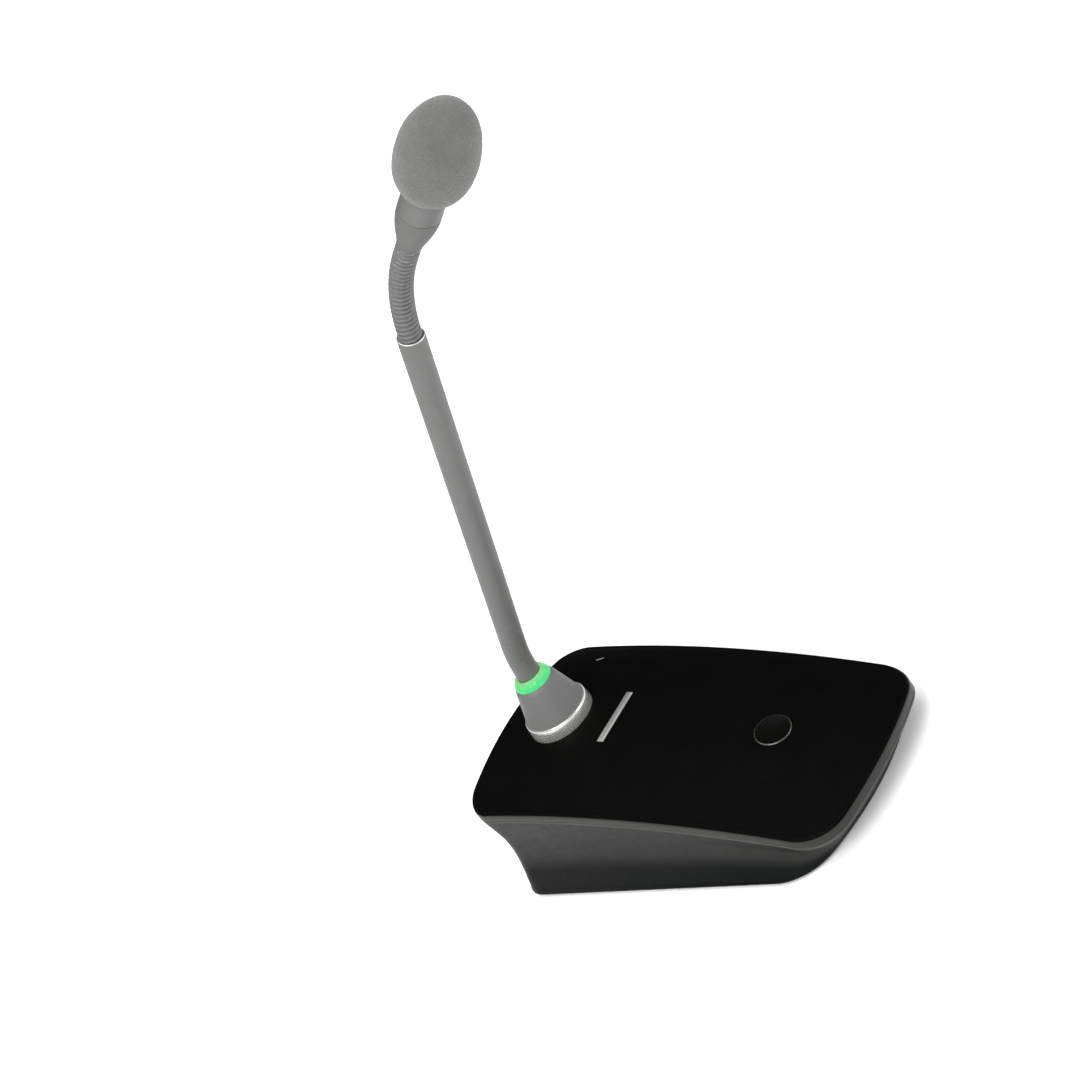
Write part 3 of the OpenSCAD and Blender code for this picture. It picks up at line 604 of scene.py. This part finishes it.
def build_cover():
    """Closed cover: crowned top, rounded edge, paler band as painted light, inner faces and the four
    openings.
    """
    rim_inset = WALL + 0.3
    loops = [outline(COVER, rim_inset)] + [o["loop"](o["round"]) for o in OPENINGS]
    flat, top = fill(loops)
    count = len(flat)
    verts = [(p.x, p.y, crown_z(p.x, p.y)) for p in flat]
    verts += [(x, y, z - COVER_T) for x, y, z in verts]
    faces = top + [[i + count for i in reversed(tri)] for tri in top]

    # Outer edge: along the crown, over the rounded edge, down the band and up the inner wall. The
    # band ends in a small soft edge with one step in its middle.
    soft, middle = 0.25, 0.07
    crown = [(WALL - 0.5, 0), (EDGE_R + 0.25, 0)]
    spec = crown + fillet(EDGE_R, EDGE_STEPS)
    spec += [(0, (EDGE_R + BAND_H) / 2), (0, BAND_H - soft), (middle, BAND_H - middle), (soft, BAND_H)]
    spec += [(rim_inset, BAND_H)]
    rings = []
    for inset, drop in spec:
        above = outline(COVER, min(inset, EDGE_R))
        rings.append([(x, y, crown_z(x, y, -drop) if drop >= BAND_H else crown_z(*p) - drop)
                      for (x, y), p in zip(outline(COVER, inset), above)])
    n = len(loops[0])
    band_first = len(faces) + n * (len(crown) + BAND_STEP)
    bridge(verts, faces, list(range(n)), rings, list(range(count, count + n)))
    band_last = len(faces) - n

    first = n
    for opening, loop in zip(OPENINGS, loops[1:]):
        rings = [[(x, y, crown_z(x, y) - drop) for x, y in opening["loop"](grow)]
                 for grow, drop in fillet(opening["round"], 5, 1) + [(0, COVER_T)]]
        mouth = list(range(first, first + len(loop)))
        bridge(verts, faces, mouth, rings, [i + count for i in mouth])
        first += len(loop)
    cover = add_mesh("cover_shell", verts, faces, MATERIALS["cover"], COLLAR, sharp=40)
    # The band's faces get the paler band material: painted light on the cover's side.
    cover.data.materials.append(MATERIALS["band"])
    for i in range(band_first, band_last):
        cover.data.polygons[i].material_index = 1
    face_outward(cover)
    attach(cover, "base")
    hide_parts("top_cover")


# ---------------------------------------------------------------- lower shell


def flow(t):
    """Share of the way from the cover's outline to the footprint at a height share t: slow as far as
    the knee, then flaring."""
    if t < KNEE:
        return KNEE_SLOPE * t
    start = KNEE_SLOPE * KNEE
    return start + (1 - start) * ((t - KNEE) / (1 - KNEE)) ** FLARE_POWER


def waist(t):
    """How far the side is drawn in at a height share t."""
    return WAIST_IN * math.sin(math.pi * min(1, t / WAIST_END)) ** WAIST_POWER


def shell_ring(t, inset, drop=0.0):
    """Ring of the shell at height share t, inset and lowered by the given distances."""
    top = outline(COVER, inset + waist(t))
    low = outline(FOOT, inset + waist(t))
    share = flow(t)
    ring = []
    for (x, y), (u, v) in zip(top, low):
        a = to_part(x, y, crown_z(x, y, -BAND_H - SEAM))
        z = a.z + (FOOT_Z - a.z) * t - drop
        ring.append((a.x + (u - a.x) * share, a.y + (v - a.y) * share, z))
    return ring


def build_shell():
    """Side shell: a soft top edge, the waisted and flared outside, a rounded foot, the inner wall."""
    top_edge = ((0.32, 0), (0.22, 0.03), (0.06, 0.16), (0, 0.4))  # Each as its inset and its drop.
    side_steps, foot_r, foot_steps, ledge = 44, 1.1, 6, 0.8
    levels = [i / side_steps for i in range(1, side_steps - 2)]  # The foot takes up the last steps.
    inner = [0.8, 0.6, 0.4, 0.2, 0.0]
    rings = [shell_ring(0, inset, drop) for inset, drop in top_edge]
    rings += [shell_ring(t, 0) for t in levels]
    for rise, inset in fillet(foot_r, foot_steps):
        rings.append([(x, y, FOOT_Z + rise) for x, y, _ in shell_ring(1, inset)])
    rings.append(shell_ring(1, WALL + ledge))
    rings += [shell_ring(t, WALL) for t in inner]
    shares = [0.0] * len(top_edge) + levels + [1.0] * (foot_steps + 2) + inner
    shell = stacked("shell_body", rings, MATERIALS["shell"], hollow=True, sharp=60)
    heights = shell.data.attributes.new("height_share", "FLOAT", "POINT")
    heights.data.foreach_set("value", [share for share, ring in zip(shares, rings) for _ in ring])
    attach(shell, "base")
    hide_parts("lower_shell")


# ---------------------------------------------------------------- controls on the cover


def build_button():
    """Round button with a shallow dish, a rounded rim and a flange and stem below."""
    top, edge, rim_depth = -0.12, 0.35, 0.4
    dish_r, dish_depth, dish_steps = BUTTON_R - 0.38, 0.42, 10
    stem_r, stem_end, stem_top, flange_r, flange_top = 1.6, -6.9, -3.8, 6.6, -2.8
    profile = [(0, stem_end), (stem_r, stem_end), (stem_r, stem_top), (flange_r, stem_top + 0.05),
               (flange_r, flange_top), (BUTTON_R, flange_top + 0.1), (BUTTON_R, top - edge)]
    profile += [(BUTTON_R - inset, top - drop) for drop, inset in fillet(edge, 6, 1)]
    profile += [(dish_r * i / dish_steps, top - dish_depth * (1 - (i / dish_steps) ** 2))
                for i in range(dish_steps, 0, -1)]
    profile += [(0, top - dish_depth)]
    place = COLLAR @ Matrix.Scale(MM, 4) @ on_cover(BUTTON_Y) @ Matrix.Scale(1 / MM, 4)
    button = lathe("mute_cap", profile, place, MATERIALS["button"])
    # The rim faces get the paler rim material: a painted highlight round the button's edge.
    button.data.materials.append(MATERIALS["button_rim_highlight"])
    inward = place.inverted()
    for face in button.data.polygons:
        spot = inward @ face.center / MM
        if math.hypot(spot.x, spot.y) > dish_r and spot.z > top - rim_depth:
            face.material_index = 1
    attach(button, "mute_cap")
    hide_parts("mute_button")


def build_inlays():
    """The blank name bar and the slit of the status light, both set into the cover."""
    rings = []
    for inset, lift in ((0.03, -1.8), (0.03, 0.12), (0.06, 0.2), (0.16, 0.25), (BAR_W / 2 - 0.3, 0.27)):
        loop = rounded_box(BAR_LEN, BAR_W, BAR_CORNER, (0, BAR_Y), -min(inset, BAR_CORNER - 0.01))
        long, wide = 1 - inset / BAR_LEN, 1 - inset / BAR_W * 1.8
        loop = [(x * long, BAR_Y + (y - BAR_Y) * wide) for x, y in loop]
        rings.append([(x, y, crown_z(x, y) + lift) for x, y in loop])
    bar = stacked("name_bar_inlay", rings, MATERIALS["bar"], COLLAR, sharp=35)
    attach(bar, "base")
    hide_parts("name_bar")

    rings = []
    for grow, lift in ((-0.04, -8), (-0.04, 0.0), (-0.08, 0.06), (-0.16, 0.1)):
        loop = stadium(LIGHT_LEN, LIGHT_W, LIGHT_TURN, LIGHT_AT, grow)
        rings.append([(x, y, crown_z(x, y) + lift) for x, y in loop])
    slit = stacked("status_slit", rings, MATERIALS["slit"], COLLAR)
    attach(slit, "base")
    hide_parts("status_light_pipe")


# ---------------------------------------------------------------- collar


def build_collar():
    """Chrome ring, cone and light ring, each as a closed profile of (r, z) points about the axis."""
    steps, taper, shoulder, root = 8, 0.3, 0.92, -0.7
    wall = [(RING_R - taper * (k / steps) ** 2, RING_H * k / steps * shoulder) for k in range(steps + 1)]
    ring = [(RING_BORE, root), (RING_R, root)] + wall
    ring += rounded([wall[-1], (RING_R - 0.52, RING_H), (RING_BORE, RING_H)], {1: 0.12})[1:]
    chrome = lathe("socket_trim", ring, COLLAR, MATERIALS["chrome"], 192, sharp=60)
    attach(chrome, "base")
    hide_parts("socket_ring")

    bore, plug_r, plug_low, seat = 3.2, 8.1, -4.2, RING_H + 0.06
    pocket_r, pocket_low = 5.9, 13.2
    cone = rounded(
        [(bore, plug_low), (plug_r, plug_low), (plug_r, seat), (CONE_FOOT_R, seat),
         (CONE_FOOT_R, RING_H + 0.35), (CONE_TOP_R + 0.22, CONE_TOP - 0.9), (LIGHT_R - 0.05, CONE_TOP),
         (pocket_r, CONE_TOP), (pocket_r, pocket_low), (bore, pocket_low)],
        {4: 0.2, 5: 2.2, 6: 0.08}, steps=10)
    body = lathe("collar_body", cone, COLLAR, MATERIALS["grey"], 192, sharp=60)
    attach(body, "neck_base")
    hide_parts("collar_cone")

    inner_r, tongue_r, tongue_low, lap = 4.15, 5.8, 14.2, CONE_TOP + 0.02
    glow = rounded(
        [(inner_r, tongue_low), (tongue_r, tongue_low), (tongue_r, lap), (LIGHT_R - 0.02, lap),
         (LIGHT_R - 0.12, CONE_TOP + 1.1), (LIGHT_TOP_R, LIGHT_TOP), (inner_r, LIGHT_TOP - 0.1)],
        {4: 1.6, 5: 0.4, 3: 0.05}, steps=8)
    light = lathe("light_band", glow, COLLAR, MATERIALS["light"], 160, sharp=60)
    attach(light, "neck_base")
    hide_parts("light_ring")


# ---------------------------------------------------------------- neck


class NeckLine:
    """Centre line of the neck in the cover's frame, in millimetres: bend, straight, second bend."""

    def __init__(self):
        to_local = COLLAR.inverted()

        def local(point):
            p = to_local @ point
            return Vector((0, p.y / MM, p.z / MM))

        self.lower = [local(pivot(n)) for n in alternate("lower", LOWER_N)]
        self.upper = [local(pivot(n)) for n in alternate("upper", UPPER_N)]
        way = self.upper[0] - self.lower[-1]
        self.tube_lean = math.atan2(-way.y, way.z)
        head = to_local.to_3x3() @ axis_of("windscreen_pull")
        self.head_lean = math.atan2(-head.y, head.z)
        # The first bend touches both the collar's axis and the tube's line.
        cross = self.upper[0].z + self.upper[0].y / math.tan(self.tube_lean)
        self.bend_z = cross - BEND_R * math.tan(self.tube_lean / 2)
        self.bend_len = BEND_R * self.tube_lean
        self.bend_end = Vector((0, -BEND_R * (1 - math.cos(self.tube_lean)),
                                self.bend_z + BEND_R * math.sin(self.tube_lean)))
        self.upper_s = self.bend_len + (self.upper[0] - self.bend_end).length
        turn = self.head_lean - self.tube_lean
        self.top_r = (self.upper[-1] - self.upper[0]).length / (2 * math.sin(turn / 2))
        self.top_s = self.upper_s + self.top_r * turn
        first = self.lower[0]
        self.first_s = BEND_R * math.atan2(first.z - self.bend_z, BEND_R + first.y)
        last_s = self.bend_len + (self.lower[-1] - self.bend_end).length
        self.lower_pitch = (last_s - self.first_s) / (LOWER_N - 1)
        self.upper_pitch = (self.top_s - self.upper_s) / (UPPER_N - 1)

    def lean(self, s):
        if s < self.bend_len:
            return max(0.0, s) / BEND_R
        return min(self.head_lean, self.tube_lean + max(0.0, s - self.upper_s) / self.top_r)

    def at(self, s):
        """Point and lean at a distance s from the start of the first bend."""
        a = self.lean(s)
        along = Vector((0, -math.sin(a), math.cos(a)))
        if s < 0:
            return Vector((0, 0, self.bend_z + s)), 0.0
        if s < self.bend_len:
            return Vector((0, -BEND_R * (1 - math.cos(a)), self.bend_z + BEND_R * math.sin(a))), a
        if s < self.upper_s:
            return self.bend_end + (s - self.bend_len) * along, a
        curve = self.top_r * Vector((0, math.cos(a) - math.cos(self.tube_lean),
                                     math.sin(a) - math.sin(self.tube_lean)))
        return self.upper[0] + curve + max(0.0, s - self.top_s) * along, a


def alternate(section, count):
    """Joint names of a flexible section, from the bottom up: nod, sway, nod, sway..."""
    return [f"{section}_{('nod', 'sway')[i % 2]}_{i // 2 + 1}" for i in range(count)]


NECK = NeckLine()


def tube_between(name, s0, s1, radius, material, steps, bore, segments=72):
    """Hollow sleeve along the neck from s0 to s1. radius(s, angle) gives its outside."""
    turn = np.linspace(0, 2 * math.pi, segments, endpoint=False)
    rings = []
    for i in range(steps + 1):
        s = s0 + (s1 - s0) * i / steps
        rings.append(neck_ring(s, [radius(s, a) for a in turn], turn))
    rings += [neck_ring(s, [bore] * segments, turn) for s in (s1, s0)]
    return stacked(name, rings, material, COLLAR, hollow=True, sharp=70)


def neck_ring(s, radii, turn):
    """Ring of points square on the neck's line at s, with the given radii at the given angles."""
    p, lean = NECK.at(s)
    x = Vector((1, 0, 0))
    y = Vector((0, math.cos(lean), math.sin(lean)))
    return [p + r * math.cos(a) * x + r * math.sin(a) * y for r, a in zip(radii, turn)]


def neck_frame(s):
    """Frame, in metres, with its z axis along the neck at s."""
    point, lean = NECK.at(s)
    return COLLAR @ Matrix.Translation(point * MM) @ Matrix.Rotation(lean, 4, "X")


def smooth_radius(s, angle):
    return TUBE_R


def rib_radius(s, angle):
    """Wound flex: a helix of rounded ribs, RIBS_PER_LINK to each link."""
    pitch = NECK.upper_pitch / RIBS_PER_LINK
    phase = ((s - NECK.upper_s) / pitch - angle / (2 * math.pi)) % 1
    coil = math.sqrt(max(0.0, 1 - (RIB_NARROW * (phase - 0.5)) ** 2))
    return GROOVE_R + RIB_H * coil


def build_flex(section, s_first, pitch, count, nodes, radius, material, steps, bore):
    """Sleeve pieces that run from mid-link to mid-link, each curved along the neck across one pivot."""
    for i in range(count):
        s = s_first + i * pitch
        s0, s1 = s - pitch / 2, s + pitch / 2
        piece = tube_between(f"{section}_sleeve_{i + 1}", s0, s1, radius, material, steps, bore)
        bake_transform(piece)
        if i < len(nodes):
            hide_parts(nodes[i])


def build_neck():
    """Both flexible sections, the smooth foot and tube, the root of the flex and the tube's lip."""
    grey, flex = MATERIALS["grey"], MATERIALS["flex"]
    nodes = [f"lower_link_{i}" for i in range(1, LOWER_N)] + ["tube_socket_end"]
    build_flex("lower", NECK.first_s, NECK.lower_pitch, LOWER_N, nodes,
               smooth_radius, grey, 14, TUBE_BORE)
    nodes = [f"upper_link_{i}" for i in range(1, UPPER_N)]
    build_flex("upper", NECK.upper_s, NECK.upper_pitch, UPPER_N, nodes,
               rib_radius, flex, 42, FLEX_BORE)

    foot_low = CONE_TOP - 0.4 - NECK.bend_z
    foot_top = NECK.first_s - NECK.lower_pitch / 2
    foot = tube_between("neck_foot_sleeve", foot_low, foot_top, smooth_radius, grey, 8, TUBE_BORE)
    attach(foot, "neck_base")
    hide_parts("neck_foot")

    start = NECK.first_s + (LOWER_N - 0.5) * NECK.lower_pitch
    end = NECK.upper_s - LIP_BELOW_FLEX

    def rolled(s, angle):
        """The tube's radius, rolled inward over the last 0.45 mm."""
        return TUBE_R - 0.3 * max(0.0, 1 - (end - s) / 0.45) ** 2

    tube = tube_between("tube_outer", start, end, rolled, grey, 240, TUBE_BORE, 96)
    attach(tube, "tube")
    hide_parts("neck_tube")

    root_top = NECK.upper_s - NECK.upper_pitch / 2
    root = tube_between("flex_root", end - 1.5, root_top, rib_radius, flex, 24, FLEX_BORE)
    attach(root, "tube")
    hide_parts("tube_ball_end")

    bead = [(LIP_R + 0.17 * x, 0.02 + 0.16 * z) for x, z in circle(1, 16)]
    lip = lathe("tube_lip_ring", bead, neck_frame(end), MATERIALS["chrome"], 96)
    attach(lip, "tube")
    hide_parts("tube_lip")


# ---------------------------------------------------------------- head


def boot_radius(z):
    """Bulb of the boot between the flex and the crease."""
    t = (z - BOOT_START) / (BOOT_END - BOOT_START)
    return 3.1 + 2.4 * math.sin(math.pi / 2 * min(1.0, t * 1.06)) ** 1.25


def build_head():
    """The flex's tip, the boot, the barrel and the foam, along the head's axis."""
    place = neck_frame(NECK.top_s)
    tip_start, tip_end = NECK.top_s + NECK.upper_pitch / 2, NECK.top_s + BOOT_START + 0.4
    tip = tube_between("flex_tip", tip_start, tip_end, rib_radius, MATERIALS["flex"], 40, FLEX_BORE)
    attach(tip, "head")

    low, high, steps, bore = BOOT_START + 0.1, BOOT_END - 0.2, 26, 2.4
    profile = [(bore, BOOT_START), (3.0, BOOT_START)]
    profile += [(boot_radius(z), z) for z in (low + (high - low) * i / steps for i in range(steps + 1))]
    profile += [(5.42, BOOT_END), (4.0, BOOT_END + 0.02), (bore, BOOT_END)]
    boot = lathe("boot_bulb", profile, place, MATERIALS["boot"], 96)
    face_outward(boot)
    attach(boot, "head")
    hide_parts("head_boot")

    bore, wide, narrow, step_z = 4.75, 5.5, 5.15, BOOT_END + 7.65
    barrel = rounded(
        [(bore, BOOT_END + 0.1), (wide - 0.1, BOOT_END + 0.1), (wide, BOOT_END + 0.35),
         (wide - 0.08, BOOT_END + 4.65), (wide - 0.14, step_z - 0.4), (narrow, step_z),
         (narrow, BARREL_END), (bore, BARREL_END)], {2: 0.1, 6: 0.2})
    sleeve = lathe("head_sleeve", barrel, place, MATERIALS["grey"], 96)
    face_outward(sleeve)
    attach(sleeve, "head")
    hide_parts("head_barrel")
    build_foam(place)


def build_foam(place):
    """Foam windscreen: a blunt egg with a rounded mouth, a blind bore and a softly uneven skin."""
    half, middle, steps = FOAM_LEN / 2, FOAM_START + FOAM_LEN / 2, 110
    mouth_power, mouth_reach, tip_power = 0.78, half - 2.3, 0.98
    outer = []
    for i in range(steps + 1):
        b = -math.pi / 2 + math.pi * i / steps
        power, reach = (mouth_power, mouth_reach) if b < 0 else (tip_power, half)
        r = FOAM_R * max(0.0, math.cos(b)) ** power * (1 - 0.05 * math.sin(b))
        z = middle + math.copysign(reach * abs(math.sin(b)) ** power, b)
        if r > FOAM_BORE + 0.55 or b > 0:
            outer.append((r, z))
    outer[-1] = (0, outer[-1][1])
    low = outer[0][1]
    lip = [(FOAM_BORE, low + 1.1), (FOAM_BORE + 0.05, low + 0.35), (FOAM_BORE + 0.25, low + 0.02)]
    seat = BARREL_END + 2.1
    bore = [(0, seat), (3.2, seat), (4.7, seat - 0.05), (FOAM_BORE, seat - 0.7), (FOAM_BORE, 30),
            (FOAM_BORE, 27)]
    windscreen = lathe("foam_windscreen", bore + lip + outer, place, MATERIALS["foam"], 180, sharp=80)
    face_outward(windscreen)
    inward = place.inverted()
    for v in windscreen.data.vertices:
        local = inward @ v.co
        if math.hypot(local.x, local.y) > (FOAM_BORE + 0.3) * MM:
            lumps = sum(height * noise.noise(v.co * scale) for scale, height in FOAM_LUMPS)
            v.co += v.normal * lumps * MM
    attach(windscreen, "foam")
    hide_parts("windscreen")


# ---------------------------------------------------------------- carried-over CAD nodes

# The CAD nodes that are shown as they are, by look.
CAD_LOOKS = {
    "underside": "base_plate battery_door power_switch_body switch_body neck_socket plug_body",
    "button": "power_switch_knob",
    "rubber": "rubber_rim",
    "steel": "case_screws steel_weight board_screws door_pin socket_nut",
    "board": "main_board switch_board light_board head_board",
    "tin": "radio_shield antennas",
    "battery": "battery_pack",
    "gold": "battery_contacts charge_contacts socket_contacts plug_pins",
    "white": "switch_plunger",
    "ribbon": "switch_ribbon",
    "cable": "neck_cable",
    "aluminium": "capsule",
    "grey": "capsule_grille",
}


def dress_cad():
    for look, nodes in CAD_LOOKS.items():
        for node in nodes.split():
            materials = frame["nodes"][node].data.materials
            materials.clear()
            materials.append(MATERIALS[look])


# ---------------------------------------------------------------- stage, light and camera


def build_stage():
    """Pale round table that glows a little more towards its edge, so that it runs into the backdrop."""
    floor = bpy.data.meshes.new("floor")
    ring = [(x, y, 0) for x, y in circle(6.0, 64)]
    floor.from_pydata(ring, [], [tuple(range(len(ring)))])
    s = Shader("floor_pale")
    reach = s.node("ShaderNodeVectorMath", operation="LENGTH")
    s.link(s.coords, reach.inputs[0])
    s.set(Base_Color=s.mix(s.cloud(300, 0, 1), (0.86, 0.86, 0.86), (0.88, 0.88, 0.88)), Roughness=0.9)
    s.set(Specular_IOR_Level=0.1, Emission_Color=(1.0, 1.0, 1.0))
    s.set(Emission_Strength=s.ramp(reach.outputs["Value"], 0.1, 0.9, 0.12, 0.6))
    floor.materials.append(s.material)
    obj = bpy.data.objects.new("floor", floor)
    bpy.context.scene.collection.objects.link(obj)


def build_world():
    """Soft pale surround. Reflections see it dimmer towards the rear right, as in a flagged studio."""
    world = bpy.data.worlds.new("studio")
    bpy.context.scene.world = world
    studio = Nodes(world)
    background = studio.tree.nodes["Background"]
    background.inputs["Color"].default_value = (1, 1, 1, 1)
    rays = studio.node("ShaderNodeLightPath").outputs
    view = studio.node("ShaderNodeTexCoord").outputs["Generated"]
    dot = studio.node("ShaderNodeVectorMath", operation="DOT_PRODUCT")
    dot.inputs[1].default_value = Vector((0.54, 0.66, 0.52)).normalized()
    studio.link(view, dot.inputs[0])
    flag = studio.ramp(dot.outputs["Value"], 0.35, 0.8, 0.75, 0.02, smooth=True)
    lit = studio.choose(rays["Is Glossy Ray"], 0.78, flag)
    studio.link(studio.choose(rays["Is Camera Ray"], lit, 1.0), background.inputs["Strength"])


def area_light(name, place, aim, size, power):
    data = bpy.data.lights.new(name, "AREA")
    data.shape = "RECTANGLE"
    data.size, data.size_y = size
    data.energy = power
    obj = bpy.data.objects.new(name, data)
    obj.location = place
    obj.rotation_mode = "QUATERNION"
    obj.rotation_quaternion = (Vector(place) - Vector(aim)).to_track_quat("Z", "Y")
    bpy.context.scene.collection.objects.link(obj)


def build_lights():
    aim = (0, 0, 0.09)
    area_light("key", (-0.75, -0.35, 0.75), aim, (0.7, 0.7), 9)
    area_light("fill", (0.55, -0.9, 0.45), aim, (0.6, 0.6), 3.5)
    area_light("top", (0.0, 0.1, 1.2), aim, (0.9, 0.9), 6)


def build_camera():
    """Camera at the viewing angle of the reference: rolled, from the front left and above."""
    data = bpy.data.cameras.new("camera")
    data.sensor_width = 36
    data.lens = 66.67
    data.clip_start, data.clip_end = 0.05, 30
    camera = bpy.data.objects.new("camera", data)
    back = CAMERA_BACK.normalized()
    right = (CAMERA_RIGHT - CAMERA_RIGHT.dot(back) * back).normalized()
    matrix = Matrix((right, back.cross(right), back)).transposed().to_4x4()
    matrix.translation = COLLAR.translation + CAMERA_FROM_COLLAR * MM
    camera.matrix_world = matrix
    bpy.context.scene.collection.objects.link(camera)
    bpy.context.scene.camera = camera


build_cover()
build_shell()
build_button()
build_inlays()
build_collar()
build_neck()
build_head()
dress_cad()
build_stage()
build_world()
build_lights()
build_camera()
bpy.context.scene.view_settings.view_transform = "Standard"
